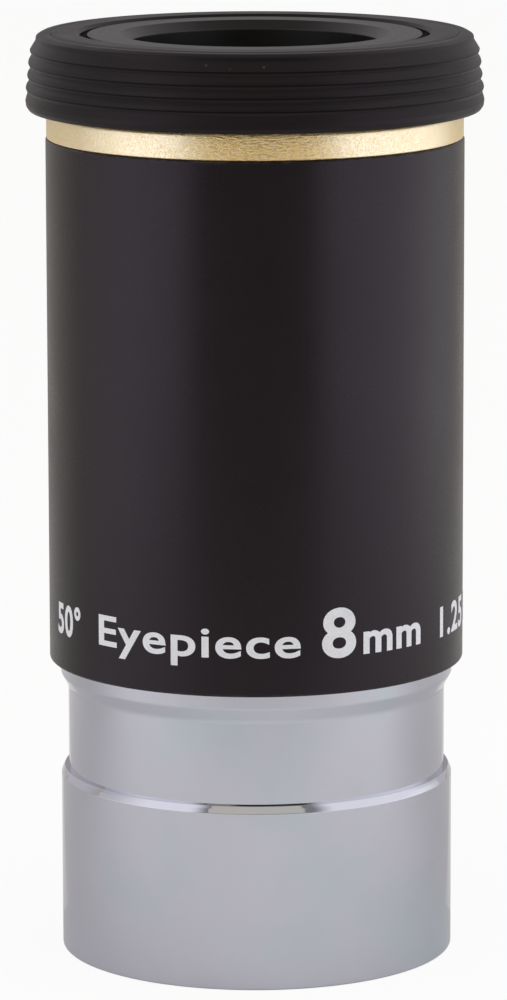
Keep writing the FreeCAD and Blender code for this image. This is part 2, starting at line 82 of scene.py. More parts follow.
R_BARREL = reach_of("barrel")
R_BODY = reach_of("body_shell")
R_TRIM = reach_of("gold_trim_ring")
R_LENS = reach_of("eye_lens")
R_NOSE_LENS = reach_of("nose_negative_lens")
R_FLANGE = reach_of("eyecup_base")
R_LIP = reach_of("eyecup_skirt")
Z_SEAT = foot_of("body_shell")
Z_BODY_TOP = top_of("body_shell")
Z_SPIGOT_TOP = top_of("barrel")
Z_FACE = top_of("eye_lens_cap")
Z_FLANGE_TOP = top_of("eyecup_base")
Z_CUP = top_of("eyecup_skirt")
Z_LIP = foot_of("eyecup_skirt")

GAP = 0.02  # between pieces that touch

# Eyecup skirt, from the top down: (height, radius) of each rib's crest
RIBS = [(73.17, 17.91), (72.16, 18.045), (71.16, 18.135), (70.17, 18.255), (69.16, R_LIP)]
# ... and of the groove under each of the first four
GROOVES = [(72.80, 17.75), (71.72, 17.85), (70.73, 17.95), (69.80, 18.11)]

# ---------------------------------------------------------------------------
# Mesh tools
# ---------------------------------------------------------------------------


def eased(points, support=0.04):
    """Rounds a closed half section of (radius, height[, corner rounding]) in mm, with a
    supporting point close to each side of a rounded corner."""
    out = []
    for i, (r, z, *rounding) in enumerate(points):
        rounding = rounding[0] if rounding else 0.0
        corner = np.array((r, z), float)
        back = np.array(points[i - 1][:2], float) - corner
        ahead = np.array(points[(i + 1) % len(points)][:2], float) - corner
        back_length, ahead_length = np.linalg.norm(back), np.linalg.norm(ahead)
        back, ahead = back / back_length, ahead / ahead_length
        angle = math.acos(max(-1.0, min(1.0, float(back @ ahead))))
        if rounding <= 0 or angle > math.radians(177):
            out.append((r, z))
            continue
        # the arc takes at most 0.42 of either side
        trim = min(rounding / math.tan(angle / 2), back_length * 0.42, ahead_length * 0.42)
        rounding = trim * math.tan(angle / 2)
        inward = (back + ahead) / np.linalg.norm(back + ahead)
        centre = corner + inward * (rounding / math.sin(angle / 2))
        start, end = corner + back * trim, corner + ahead * trim
        if back_length - trim > support * 2.5:
            out.append(tuple(start + back * support))
        steps = max(2, int(math.ceil(math.degrees(math.pi - angle) / 11.0)))
        v0, v1 = start - centre, end - centre
        first = math.atan2(v0[1], v0[0])
        sweep = math.atan2(v0[0] * v1[1] - v0[1] * v1[0], float(v0 @ v1))
        for k in range(steps + 1):
            at = first + sweep * k / steps
            out.append((centre[0] + rounding * math.cos(at), centre[1] + rounding * math.sin(at)))
        if ahead_length - trim > support * 2.5:
            out.append(tuple(end + ahead * support))
    return out


def stretch(start, end, step):
    """Points between start and end no further apart than step, without either end."""
    start, end = np.array(start, float), np.array(end, float)
    count = max(1, int(math.ceil(np.linalg.norm(end - start) / step)))
    return [tuple(start + (end - start) * k / count) for k in range(1, count)]


def even_angles(count):
    return np.arange(count) * (TURN / count)


def new_object(name, data):
    obj = bpy.data.objects.new(name, data)
    scene.collection.objects.link(obj)
    return obj


def lathe(name, section, angles, warp=None, sharp=42.0):
    """A surface of revolution about Z from a half section of (radius, height) in mm, which
    is either a closed loop or runs from the axis to the axis.
    warp(r, z, angle) may move a point, as a thread or a slot does."""
    area = sum(r0 * z1 - r1 * z0 for (r0, z0), (r1, z1) in zip(section[-1:] + section, section))
    if area < 0:
        section = section[::-1]
    verts, rows = [], []
    for r, z in section:
        if r < 1e-9:
            rows.append([len(verts)] * len(angles))
            verts.append((0.0, 0.0, z * MM))
            continue
        row = []
        for angle in angles:
            rr, zz = (r, z) if warp is None else warp(r, z, angle)
            row.append(len(verts))
            verts.append((rr * MM * math.cos(angle), rr * MM * math.sin(angle), zz * MM))
        rows.append(row)
    closed = min(r for r, z in section) >= 1e-9
    faces = []
    for low, high in zip(rows, rows[1:] + (rows[:1] if closed else [])):
        for s in range(len(angles)):
            e = (s + 1) % len(angles)
            # at the axis two corners are one vertex, so the face is a triangle
            faces.append(list(dict.fromkeys((low[s], low[e], high[e], high[s]))))
    mesh = bpy.data.meshes.new(name)
    mesh.from_pydata(verts, [], faces)
    mesh.validate()
    mesh.shade_smooth()
    mesh.set_sharp_from_angle(angle=math.radians(sharp))
    mesh.update()
    return new_object(name, mesh)


def tooth(phase):
    """60 degree thread form with small flats: 0 on the crest, 1 in the root."""
    from_root = abs(phase % 1.0 - 0.5) * 2.0
    return 1.0 - min(1.0, max(0.0, (from_root - 0.12) / 0.76))


def ramp(x, a, b):
    """Smooth step from 0 at a to 1 at b."""
    t = min(1.0, max(0.0, (x - a) / (b - a)))
    return t * t * (3 - 2 * t)


def place(obj, body, material, node=None):
    """Gives a piece its material, moving body and slot, and the CAD node it replaces."""
    obj.data.materials.append(material)
    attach(obj, body)
    if node:
        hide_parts(node)


# ---------------------------------------------------------------------------
# Node tools
# ---------------------------------------------------------------------------

MID = (0.3, 0.7)  # the range that most noise values lie in


class Nodes:
    """Builds the node tree of a material or world; inputs take sockets or numbers."""

    def __init__(self, owner):
        owner.use_nodes = True
        self.tree = owner.node_tree
        self.tree.nodes.clear()

    def put(self, socket, value):
        if isinstance(value, bpy.types.NodeSocket):
            self.tree.links.new(value, socket)
        elif isinstance(value, (tuple, list)) and len(value) == 3 and socket.type == "RGBA":
            socket.default_value = (*value, 1.0)
        else:
            socket.default_value = value

    def node(self, kind, ins=None, **props):
        node = self.tree.nodes.new("ShaderNode" + kind)
        for key, value in props.items():
            setattr(node, key, value)
        for key, value in (ins or {}).items():
            self.put(node.inputs[key], value)
        return node

    def add(self, kind, ins=None, out=0, **props):
        return self.node(kind, ins, **props).outputs[out]

    def maths(self, operation, a, b=0.0, clamp=False):
        return self.add("Math", {0: a, 1: b, 2: 0.0}, operation=operation, use_clamp=clamp)

    def plus(self, a, b, clamp=False):
        return self.maths("ADD", a, b, clamp)

    def minus(self, a, b):
        return self.maths("SUBTRACT", a, b)

    def times(self, a, b):
        return self.maths("MULTIPLY", a, b)

    def off(self, value, centre):
        """Distance of a value from a centre."""
        return self.maths("ABSOLUTE", self.minus(value, centre))

    def remap(self, value, span, to=(0.0, 1.0), kind="LINEAR"):
        """Maps the two ends of span onto the two ends of to, clamped outside."""
        ins = dict(enumerate((value, *span, *to)))
        return self.add("MapRange", ins, interpolation_type=kind)

    def ease(self, value, span, to=(0.0, 1.0)):
        """remap with soft ends."""
        return self.remap(value, span, to, "SMOOTHSTEP")

    def band(self, value, at, half):
        """1 at a value, falling to 0 half a width away."""
        return self.ease(self.off(value, at), span=(0.0, half), to=(1.0, 0.0))

    def mix(self, factor, base, over, share=None):
        """base where factor is 0, over where it is 1; share scales the factor."""
        if share is not None:
            factor = self.times(factor, share)
        return self.add("Mix", {0: factor, 6: base, 7: over}, out=2, data_type="RGBA")

    def noise(self, vector, scale, detail, rough=0.5):
        ins = {"Vector": vector, "Scale": scale, "Detail": detail, "Roughness": rough}
        return self.add("TexNoise", ins)

    def bump(self, height, strength, distance, over=None):
        """Bump with its distance in metres, on top of the bump given as over."""
        ins = {"Height": height, "Strength": strength, "Distance": distance}
        if over is not None:
            ins["Normal"] = over
        return self.add("Bump", ins)

    def coords(self, output="Object"):
        return self.add("TexCoord", out=output)

    def split(self, vector):
        return self.node("SeparateXYZ", {0: vector}).outputs

    def degrees(self, operation, *values):
        return self.times(self.maths(operation, *values), 180 / math.pi)

    def bearing(self, x, y):
        """Degrees round Z from the front (-Y), positive towards +X."""
        return self.degrees("ARCTAN2", x, self.times(y, -1.0))


class Surface(Nodes):
    """A Principled material; coordinates are in metres and made on first use."""

    def __init__(self, name):
        self.material = bpy.data.materials.new(name)
        super().__init__(self.material)
        self.bsdf = self.node("BsdfPrincipled")
        self.node("OutputMaterial", {0: self.bsdf.outputs[0]})

    @cached_property
    def where(self):
        return self.coords()

    @cached_property
    def axes(self):
        return self.split(self.where)

    @property
    def z(self):
        return self.axes[2]

    @cached_property
    def radius(self):
        x, y = self.axes[0], self.axes[1]
        return self.maths("SQRT", self.plus(self.times(x, x), self.times(y, y)))

    @cached_property
    def turned(self):
        """Almost only height plus radius, so a pattern on it runs round the piece."""
        around = 0.02  # how much the pattern changes along x and y
        return self.add("CombineXYZ", {
            0: self.times(self.axes[0], around),
            1: self.times(self.axes[1], around),
            2: self.plus(self.z, self.radius),
        })

    def finish(self, inputs):
        """Sets the Principled inputs and hands back the material."""
        for key, value in inputs.items():
            self.put(self.bsdf.inputs[key], value)
        return self.material


# ---------------------------------------------------------------------------
# Materials
# ---------------------------------------------------------------------------


def black_anodised():
    """Satin black with the fine orange peel of bead-blasted metal."""
    n = Surface("black_anodised")
    peel = n.noise(n.where, scale=5200.0, detail=2.0, rough=0.55)
    grain = n.noise(n.where, scale=14000.0, detail=1.0)
    cloud = n.noise(n.where, scale=160.0, detail=3.0, rough=0.6)
    edges = n.plus(
        n.band(n.z, at=Z_SEAT * MM, half=0.00030),
        n.band(n.z, at=Z_BODY_TOP * MM, half=0.00028),
        clamp=True,
    )
    scuffs = n.noise(n.where, scale=900.0, detail=3.0, rough=0.7)
    wear = n.times(edges, n.ease(scuffs, span=(0.45, 0.62)))
    tint = n.mix(cloud, base=(0.0052, 0.0040, 0.0032), over=(0.0078, 0.0062, 0.0052))
    glints = n.remap(grain, span=(0.52, 0.78), to=(0.0, 0.25))
    tint = n.mix(glints, base=tint, over=(0.022, 0.018, 0.017))
    return n.finish({
        "Base Color": n.mix(wear, base=tint, over=(0.10, 0.09, 0.085), share=0.35),
        "Roughness": n.plus(
            n.remap(cloud, MID, to=(0.27, 0.33)), n.remap(peel, MID, to=(-0.03, 0.03))
        ),
        "IOR": 1.42,
        "Specular Tint": (0.93, 0.80, 1.0),
        "Normal": n.bump(
            grain, strength=0.25, distance=4e-6,
            over=n.bump(peel, strength=0.35, distance=12e-6),
        ),
    })


def gold_anodised():
    """Polished metal in a deep gold skin, most wrinkled at the front. Whitish specks in the
    colour are painted highlight; at the front there are fewer, and the wrinkles' hollows are
    painted dark, as painted reflection of the dark camera side.
    """
    n = Surface("gold_anodised")
    squashed = n.add("VectorMath", {0: n.where, 1: (1.0, 1.0, 3.0)}, operation="MULTIPLY")
    wrinkle = n.noise(squashed, scale=2300.0, detail=2.0, rough=0.6)
    speck = n.noise(n.where, scale=24000.0, detail=2.0, rough=0.6)
    line = n.noise(n.turned, scale=30000.0, detail=2.0)
    bearing = n.bearing(n.split(n.where)[0], n.split(n.where)[1])
    # 1 on the wrinkled part at the front, in degrees of bearing; there the colour also gets
    # painted shade and fewer painted highlights
    front_wrinkles_and_shade = n.ease(n.off(bearing, centre=2.0), span=(9.0, 27.0), to=(1.0, 0.0))
    # whitish facets in the colour: painted highlight, fewer at the front
    highlight_facet = n.times(
        n.remap(speck, span=(0.44, 0.54)), n.remap(front_wrinkles_and_shade, span=(0.0, 1.0), to=(1.0, 0.62))
    )
    # painted shade in the hollows of the wrinkles, at the front only
    crevice_shade = n.times(
        n.ease(wrinkle, span=(0.37, 0.46), to=(1.0, 0.0)), n.remap(front_wrinkles_and_shade, span=(0.45, 1.0))
    )
    gold_and_highlight = n.mix(highlight_facet, base=(1.0, 0.70, 0.16), over=(1.0, 1.0, 0.92))
    worked_roughness, line_height = 0.10, 0.1
    relief = n.times(wrinkle, n.remap(front_wrinkles_and_shade, span=(0.0, 1.0), to=(0.12, 1.45)))
    return n.finish({
        "Base Color": n.mix(crevice_shade, base=gold_and_highlight, over=(0.42, 0.22, 0.05), share=0.32),
        "Metallic": 1.0,
        "Roughness": n.plus(
            n.remap(highlight_facet, span=(0.0, 1.0), to=(0.62, 0.19)), n.times(front_wrinkles_and_shade, worked_roughness)
        ),
        "Normal": n.bump(
            n.plus(relief, n.times(line, line_height)), strength=1.0, distance=72e-6
        ),
    })


def chrome_plate():
    """Satin chrome with faint smears and bluish blotches."""
    n = Surface("chrome_plate")
    polish = n.noise(n.turned, scale=42000.0, detail=3.0, rough=0.6)
    smear = n.noise(n.where, scale=140.0, detail=3.0, rough=0.55)
    pit = n.noise(n.where, scale=7000.0, detail=2.0)
    blotch = n.noise(n.where, scale=95.0, detail=3.0, rough=0.55)
    tint = n.mix(smear, base=(0.607, 0.616, 0.692), over=(0.671, 0.682, 0.764))
    bluish = n.ease(blotch, span=(0.50, 0.66), to=(0.0, 0.5))
    return n.finish({
        "Base Color": n.mix(bluish, base=tint, over=(0.560, 0.650, 0.700)),
        "Metallic": 1.0,
        "Roughness": n.plus(
            n.remap(smear, span=(0.35, 0.65), to=(0.040, 0.075)),
            n.remap(polish, MID, to=(-0.012, 0.015)),
        ),
        "Normal": n.bump(
            pit, strength=0.03, distance=5e-6,
            over=n.bump(polish, strength=0.03, distance=5e-6),
        ),
    })


def gap_lightened(n, tint, radii):
    """Painted light in the deep gap between the eyecup and its cap, a lighter colour that lifts
    the gap; it grows from the first radius to the second.
    """
    dust_and_gap_light = n.times(
        n.remap(n.radius, span=(radii[0] * MM, radii[1] * MM)),
        n.remap(n.z, span=(74.20 * MM, 73.90 * MM)),
    )
    return n.mix(dust_and_gap_light, base=tint, over=(0.085, 0.072, 0.068))


def eyecup_rubber():
    """Matt rubber with a few pale motes, and a line of painted shade just under each rib crest.
    """
    n = Surface("eyecup_rubber")
    skin = n.noise(n.where, scale=3600.0, detail=3.0, rough=0.6)
    fine = n.noise(n.where, scale=12000.0, detail=2.0)
    haze = n.noise(n.where, scale=210.0, detail=3.0, rough=0.6)
    cells = n.add("TexVoronoi", {"Vector": n.where, "Scale": 900.0}, "Distance", feature="F1")
    rare = n.remap(n.noise(n.where, scale=420.0, detail=1.0), span=(0.60, 0.66))
    mote = n.times(n.remap(cells, span=(0.05, 0.10), to=(1.0, 0.0)), rare)
    # painted shade: a dark line just under each of the first four rib crests, darker in the
    # colour and with weaker reflection
    shade_under_crest = 0.0
    below = 0.07  # from a rib's crest to its darkest line, mm
    for rib_z, _ in RIBS[:4]:
        shade_under_crest = n.plus(shade_under_crest, n.band(n.z, at=(rib_z - below) * MM, half=0.00012), clamp=True)
    tint = n.mix(haze, base=(0.0034, 0.0029, 0.0030), over=(0.0058, 0.0050, 0.0050))
    tint = n.mix(shade_under_crest, base=tint, over=(0.0008, 0.0007, 0.0007), share=0.7)
    tint = n.mix(mote, base=tint, over=(0.16, 0.15, 0.15), share=0.35)
    return n.finish({
        # painted light on the seat's inner wall, down in the gap round the cap
        "Base Color": gap_lightened(n, tint, radii=(14.25, 14.05)),
        "Roughness": n.plus(
            n.remap(haze, MID, to=(0.36, 0.44)), n.remap(fine, MID, to=(-0.04, 0.04))
        ),
        "Specular IOR Level": n.remap(shade_under_crest, span=(0.0, 1.0), to=(0.5, 0.16)),
        "IOR": 1.34,
        "Specular Tint": (1.0, 0.85, 0.98),
        "Normal": n.bump(
            fine, strength=0.2, distance=5e-6,
            over=n.bump(skin, strength=0.35, distance=12e-6),
        ),
    })


def black_turned():
    """The turned black cap round the eye lens."""
    n = Surface("black_turned")
    lathe_line = n.noise(n.turned, scale=26000.0, detail=3.0, rough=0.65)
    cloud = n.noise(n.where, scale=300.0, detail=2.0)
    tint = n.mix(cloud, base=(0.0030, 0.0026, 0.0027), over=(0.0050, 0.0044, 0.0046))
    return n.finish({
        # painted light on the cap's outer wall, down in the gap under the eyecup
        "Base Color": gap_lightened(n, tint, radii=(13.20, 13.30)),
        "IOR": 1.60,
        "Specular IOR Level": 0.36,
        "Roughness": n.remap(lathe_line, MID, to=(0.30, 0.42)),
        "Normal": n.bump(lathe_line, strength=0.45, distance=10e-6),
    })


def blackened_metal():
    """Matt black of the inside."""
    n = Surface("blackened_metal")
    lathe_line = n.noise(n.turned, scale=15000.0, detail=3.0, rough=0.65)
    cloud = n.noise(n.where, scale=500.0, detail=2.0)
    return n.finish({
        "Base Color": n.mix(
            cloud, base=(0.0060, 0.0056, 0.0058), over=(0.0120, 0.0112, 0.0115)
        ),
        "Roughness": n.remap(lathe_line, MID, to=(0.48, 0.66)),
        "Normal": n.bump(lathe_line, strength=0.30, distance=10e-6),
    })


def coated_glass(name, ior, film, tint):
    """Lens glass with an antireflection film (nm), and a faint dusting."""
    n = Surface(name)
    dust_and_gap_light = n.noise(n.where, scale=700.0, detail=3.0, rough=0.6)
    dusty_tint = tuple(c * 0.97 for c in tint)
    return n.finish({
        "Base Color": n.mix(n.remap(dust_and_gap_light, span=(0.4, 0.8)), base=tint, over=dusty_tint),
        "Transmission Weight": 1.0,
        "IOR": ior,
        "Roughness": n.remap(dust_and_gap_light, span=(0.55, 0.85), to=(0.0, 0.05)),
        "Thin Film Thickness": film,
        "Thin Film IOR": 1.38,
    })


def white_ink():
    """Slightly uneven ink of the printed marks."""
    n = Surface("white_ink")
    press = n.noise(n.where, scale=6000.0, detail=3.0, rough=0.6)
    fade = n.noise(n.where, scale=700.0, detail=2.0)
    thin = n.remap(press, span=(0.35, 0.75))
    tint = n.mix(thin, base=(0.92, 0.945, 1.0), over=(0.80, 0.82, 0.88))
    faded = n.remap(fade, span=(0.5, 0.8), to=(0.0, 0.4))
    return n.finish({
        "Base Color": n.mix(faded, base=tint, over=(0.72, 0.73, 0.78)),
        "Roughness": n.remap(press, MID, to=(0.42, 0.60)),
        "Normal": n.bump(press, strength=0.3, distance=6e-6),
    })


mat_body = black_anodised()
mat_gold = gold_anodised()
mat_chrome = chrome_plate()
mat_rubber = eyecup_rubber()
mat_cap = black_turned()
mat_inner = blackened_metal()
mat_crown = coated_glass("crown_glass", ior=1.52, film=185.0, tint=(0.97, 0.99, 0.98))
mat_flint = coated_glass("flint_glass", ior=1.65, film=210.0, tint=(0.97, 0.98, 0.96))
mat_eye = coated_glass("eye_glass", ior=1.58, film=235.0, tint=(0.98, 0.99, 0.98))
mat_ink = white_ink()

# ---------------------------------------------------------------------------
# Kinds of piece used in both the barrel and the body. In every section table the
# columns are radius, height and, where a corner is rounded, its rounding, in mm.
# ---------------------------------------------------------------------------


def place_inner(obj, body, node):
    place(obj, body, mat_inner, node)


def bowl(curve, rho, rim_z, side, steps=26):
    """A spherical lens face from the axis out to rho; side says where its centre is."""
    sign = 1 if side == "below" else -1
    vertex = rim_z + sign * (curve - math.sqrt(curve * curve - rho * rho))
    radii = [rho * k / steps for k in range(steps + 1)]
    return [(r, vertex - sign * (curve - math.sqrt(curve * curve - r * r))) for r in radii]


def lens(name, node, body, glass, rho, low, high, bevel=0.12):
    """low and high are (curve, rim height, side of its centre) of the two faces; the rim
    heights are those at the inner edge of the bevel."""
    under, over = (bowl(curve, rho - bevel, z, side) for curve, z, side in (low, high))
    rim = [(rho, low[1] + bevel), (rho, high[1] - bevel)]
    part = lathe(name, under + rim + over[::-1], even_angles(224), sharp=25.0)
    place(part, body, glass, node)


def slotted_ring(name, node, body, bore, reach, from_top=True):
    """A retaining ring with two spanner slots, on the +X and -X sides."""
    width, depth = 1.2, 0.6
    low, high = foot_of(node), top_of(node)
    section = eased([(bore, low, 0.1), (reach, low, 0.1), (reach, high, 0.1), (bore, high, 0.1)])
    half = math.asin(width / 2 / ((bore + reach) / 2))
    edge = math.radians(0.12)  # the slot's walls slope over this angle
    walls = [
        centre + offset
        for centre in (0.0, math.pi)
        for offset in (-half - edge, -half, half, half + edge)
    ]
    clear = [
        a for a in even_angles(192)
        if all(abs(math.remainder(a - wall, TURN)) > 2 * edge for wall in walls)
    ]

    def cut(r, z, angle):
        off = min(abs(math.remainder(angle - centre, TURN)) for centre in (0.0, math.pi))
        if off < half + edge / 2:
            z = min(z, high - depth) if from_top else max(z, low + depth)
        return r, z

    angles = sorted([wall % TURN for wall in walls] + clear)
    place_inner(lathe(name, section, angles, cut, sharp=30.0), body, node)


def knife_ring(name, node, body, bore, reach, top_bore):
    """A stop ring whose bore narrows downwards to a thin edge."""
    low, high = foot_of(node), top_of(node)
    section = [
        (bore, low), (reach, low, 0.08), (reach, high, 0.08),
        (top_bore, high, 0.05), (bore, low + 0.12),
    ]
    place_inner(lathe(name, eased(section), even_angles(224)), body, node)


# ---------------------------------------------------------------------------
# Nose barrel
# ---------------------------------------------------------------------------

# thread of the spigot that screws into the body
R_SPIGOT, PITCH, THREAD = 14.45, 0.75, 0.34
Z_SPIGOT_LOW = 24.62
# filter thread inside the foot
R_FILTER, FILTER_PITCH, FILTER_THREAD = 13.93, 0.60, 0.27
Z_FILTER_TOP = 4.20
R_FIT = 13.45  # outside of the pieces fitted in the barrel
Z_NOSE_JOINT, Z_NOSE_TOP = 11.20, 11.90  # rims of the two nose lenses


def barrel_section():
    shoulder = Z_SEAT - GAP
    r_bore, z_groove = R_FIT + 0.05, 4.90
    section = eased([
        (14.25, 0.0, 0.05),
        (R_BARREL, 0.0, 0.20),
        (R_BARREL, 14.35, 0.10),  # undercut round the outside
        (15.70, 14.70, 0.40),
        (15.585, 14.92, 0.05),
        (15.24, 14.92),
        (15.24, 21.68, 0.70),
        (R_BARREL, 22.75, 0.30),
        (R_BARREL, shoulder, 0.10),
        (14.00, shoulder, 0.05),
        (14.00, Z_SPIGOT_LOW - GAP, 0.04),
    ])
    root = R_SPIGOT - THREAD
    section += [(root, Z_SPIGOT_LOW)]
    section += stretch(
        (R_SPIGOT, Z_SPIGOT_LOW + 0.05), (R_SPIGOT, Z_SPIGOT_TOP - 0.18), PITCH / 12
    )
    section += [(R_SPIGOT - 0.25, Z_SPIGOT_TOP - 0.04), (root, Z_SPIGOT_TOP)]
    section += [(r_bore, Z_SPIGOT_TOP), (r_bore, z_groove), (14.35, z_groove)]
    section += [(14.35, Z_FILTER_TOP), (R_FILTER + 0.05, Z_FILTER_TOP)]
    section += stretch((R_FILTER, 4.14), (R_FILTER, 0.34), FILTER_PITCH / 10)
    return section + [(R_FILTER + 0.02, 0.32)]


def barrel_threads(r, z, angle):
    """Right-hand threads: both rise with the angle. They fade out at their ends."""
    turn = angle / TURN
    if abs(r - R_SPIGOT) < 1e-6 and z > 24:
        top, low = Z_SPIGOT_TOP, Z_SPIGOT_LOW
        grow = ramp(z, low, low + 0.35) * (1 - ramp(z, top - 0.5, top - 0.1))
        chamfer = 0.30 * (ramp(z, top - 0.42, top - 0.12) + 1 - ramp(z, low, low + 0.28))
        return r - max(THREAD * tooth(z / PITCH - turn) * grow, chamfer), z
    if abs(r - R_FILTER) < 1e-6 and z < Z_FILTER_TOP:
        grow = ramp(z, 0.2, 0.7) * (1 - ramp(z, 3.7, 4.12))
        lead = max(0.0, 0.32 - (z - 0.02)) if z < 0.34 else 0.0
        return r + max(FILTER_THREAD * tooth(z / FILTER_PITCH - turn) * grow, lead), z
    return r, z


def nose_cell():
    """The nose lens cell, with eight shallow grooves in its front face."""
    low, high = foot_of("nose_lens_cell"), top_of("nose_lens_cell")
    face, floor_z = low + 0.02, low + 0.17
    z_lens = 6.60
    section = [(8.60, low + 0.25), (8.72, face)]
    for k in range(8):
        r = 8.95 + 0.52 * k
        section += [(r, face), (r + 0.05, floor_z), (r + 0.40, floor_z), (r + 0.45, face)]
    section += eased([
        (R_FIT, low, 0.1), (R_FIT, high, 0.1), (10.95, high, 0.08),
        (10.95, Z_NOSE_TOP), (10.05, Z_NOSE_TOP), (10.05, z_lens),
    ])
    section += [(8.60, z_lens)]
    place_inner(
        lathe("nose_cell_turned", section, even_angles(256)), "nose_barrel", "nose_lens_cell"
    )


barrel = lathe("nose_barrel_sleeve", barrel_section(), even_angles(360), barrel_threads)
place(barrel, "nose_barrel", mat_chrome, "barrel")
nose_cell()
lens("nose_lens_negative", "nose_negative_lens", "nose_barrel", mat_flint, R_NOSE_LENS,
     low=(38.0, 6.62, "below"), high=(24.0, Z_NOSE_JOINT, "above"))
lens("nose_lens_positive", "nose_positive_lens", "nose_barrel", mat_crown, R_NOSE_LENS,
     low=(24.0, Z_NOSE_JOINT + GAP, "above"), high=(60.0, Z_NOSE_TOP, "above"), bevel=0.08)
slotted_ring("nose_ring_slotted", "nose_retaining_ring", "nose_barrel", bore=8.80, reach=10.90)
slotted_ring("nose_lock_slotted", "nose_lock_ring", "nose_barrel", bore=11.40, reach=R_FIT)
knife_ring("barrel_baffle_knife", "barrel_baffle_ring", "nose_barrel",
           bore=8.00, reach=R_FIT, top_bore=10.20)
knife_ring("field_stop_knife", "field_stop_ring", "field_stop",
           bore=6.40, reach=14.40, top_bore=8.40)

# ---------------------------------------------------------------------------
# Body, lens tube and lenses
# ---------------------------------------------------------------------------

R_BORE = 14.48  # crests of the thread inside the body's foot
Z_THREAD_TOP = 30.20

# rims of the lenses in the tube
Z_DOUBLET_LOW, Z_DOUBLET_JOINT, Z_DOUBLET_TOP = 48.30, 53.03, 54.66
Z_MIDDLE_LOW, Z_MIDDLE_TOP = 59.25, 61.25
Z_EYE_LOW, Z_EYE_TOP = 66.60, 69.50


def body_section():
    section = eased([
        (14.80, Z_SEAT, 0.05),
        (R_BODY, Z_SEAT, 0.20),
        (R_BODY, Z_BODY_TOP, 0.16),
        (15.25, Z_BODY_TOP, 0.04),
        (15.25, 39.90),
        (14.80, 39.90),
        (14.80, Z_THREAD_TOP),
    ])
    section += [(R_BORE + 0.01, Z_THREAD_TOP)]
    section += stretch((R_BORE, 30.14), (R_BORE, Z_SEAT + 0.28), PITCH / 10)
    return section + [(R_BORE + 0.05, Z_SEAT + 0.26)]


def body_thread(r, z, angle):
    """Takes the spigot's thread, half a pitch out of step with it."""
    if abs(r - R_BORE) < 1e-6:
        grow = ramp(z, Z_SEAT + 0.2, Z_SEAT + 0.8) * (1 - ramp(z, 29.6, 30.1))
        return r + THREAD * tooth(z / PITCH - angle / TURN + 0.5) * grow, z
    return r, z


def lens_tube():
    low, z_step, z_top = foot_of("lens_tube"), 66.10, 69.40
    section = eased([
        (12.65, low, 0.1), (15.20, low, 0.15), (15.20, z_step, 0.05), (14.60, z_step),
        (14.60, z_top, 0.12), (12.05, z_top, 0.08), (12.05, Z_DOUBLET_LOW),
        (12.65, Z_DOUBLET_LOW),
    ])
    place_inner(lathe("lens_tube_turned", section, even_angles(224)), "main_body", "lens_tube")


def spacer(name, node, lens_below, lens_above, bore_z):
    """A spacer between two lens rims; bore_z holds its two heights at the bore."""
    bore, reach = 11.0, 12.0
    section = [
        (bore, bore_z[0]), (reach, lens_below + GAP), (reach, lens_above - GAP), (bore, bore_z[1])
    ]
    place_inner(lathe(name, section, even_angles(224)), "main_body", node)


body = lathe("body_shell_satin", body_section(), even_angles(384), body_thread)
place(body, "main_body", mat_body, "body_shell")
lens_tube()
slotted_ring("stack_ring_slotted", "lens_tube_retaining_ring", "main_body",
             bore=10.20, reach=12.60, from_top=False)
lens("doublet_flint", "doublet_flint_lens", "main_body", mat_flint, R_LENS,
     low=(90.0, Z_DOUBLET_LOW, "below"), high=(26.0, Z_DOUBLET_JOINT, "above"))
lens("doublet_crown", "doublet_crown_lens", "main_body", mat_crown, R_LENS,
     low=(26.0, Z_DOUBLET_JOINT + GAP, "above"), high=(26.0, Z_DOUBLET_TOP, "below"))
lens("middle_element", "middle_lens", "main_body", mat_crown, R_LENS,
     low=(60.0, Z_MIDDLE_LOW, "above"), high=(32.0, Z_MIDDLE_TOP, "below"))
lens("eye_element", "eye_lens", "main_body", mat_eye, R_LENS,
     low=(30.0, Z_EYE_LOW, "above"), high=(70.0, Z_EYE_TOP, "below"))
spacer("spacer_lower_turned", "lower_spacer_ring", Z_DOUBLET_TOP, Z_MIDDLE_LOW, (55.20, 59.03))
spacer("spacer_upper_turned", "upper_spacer_ring", Z_MIDDLE_TOP, Z_EYE_LOW, (61.67, 66.14))

# ---------------------------------------------------------------------------
# Gold ring, cap and eyecup
# ---------------------------------------------------------------------------


def trim_ring():
    low, high = foot_of("gold_trim_ring"), top_of("gold_trim_ring")
    section = eased([
        (14.65, low, 0.05), (R_TRIM, low, 0.14), (R_TRIM, high, 0.60), (14.65, high, 0.05),
    ])
    part = lathe("trim_ring_gold", section, even_angles(384))
    place(part, "main_body", mat_gold, "gold_trim_ring")


def eye_cap():
    section = eased([
        (11.30, 69.66), (10.00, 71.60, 0.1), (10.00, 73.70, 0.10), (10.80, Z_FACE, 0.08),
        (13.35, Z_FACE, 0.10), (13.35, 72.70, 0.08), (13.90, 72.50, 0.05), (13.90, 71.90, 0.05),
        (13.40, 71.90), (13.40, 70.40), (15.50, 70.40, 0.08), (15.50, 68.57, 0.08),
        (14.65, 68.57), (14.65, 69.66),
    ])
    part = lathe("eye_cap_turned", section, even_angles(320))
    place(part, "main_body", mat_cap, "eye_lens_cap")


def eyecup_seat():
    """The rubber seat, with a flange at its top."""
    section = eased([
        (13.42, 70.42, 0.1), (15.55, 70.42, 0.12), (15.55, 73.32, 0.12), (R_FLANGE, 73.46, 0.10),
        (R_FLANGE, Z_FLANGE_TOP - 0.10, 0.06), (R_FLANGE - 0.30, Z_FLANGE_TOP, 0.50),
        (14.20, Z_FLANGE_TOP, 0.14), (13.95, Z_FLANGE_TOP - 0.26, 0.12), (13.95, 71.88, 0.08),
        (13.42, 71.88, 0.1),
    ])
    part = lathe("eyecup_seat_ring", section, even_angles(320), sharp=60.0)
    place(part, "eyecup_seat", mat_rubber, "eyecup_base")


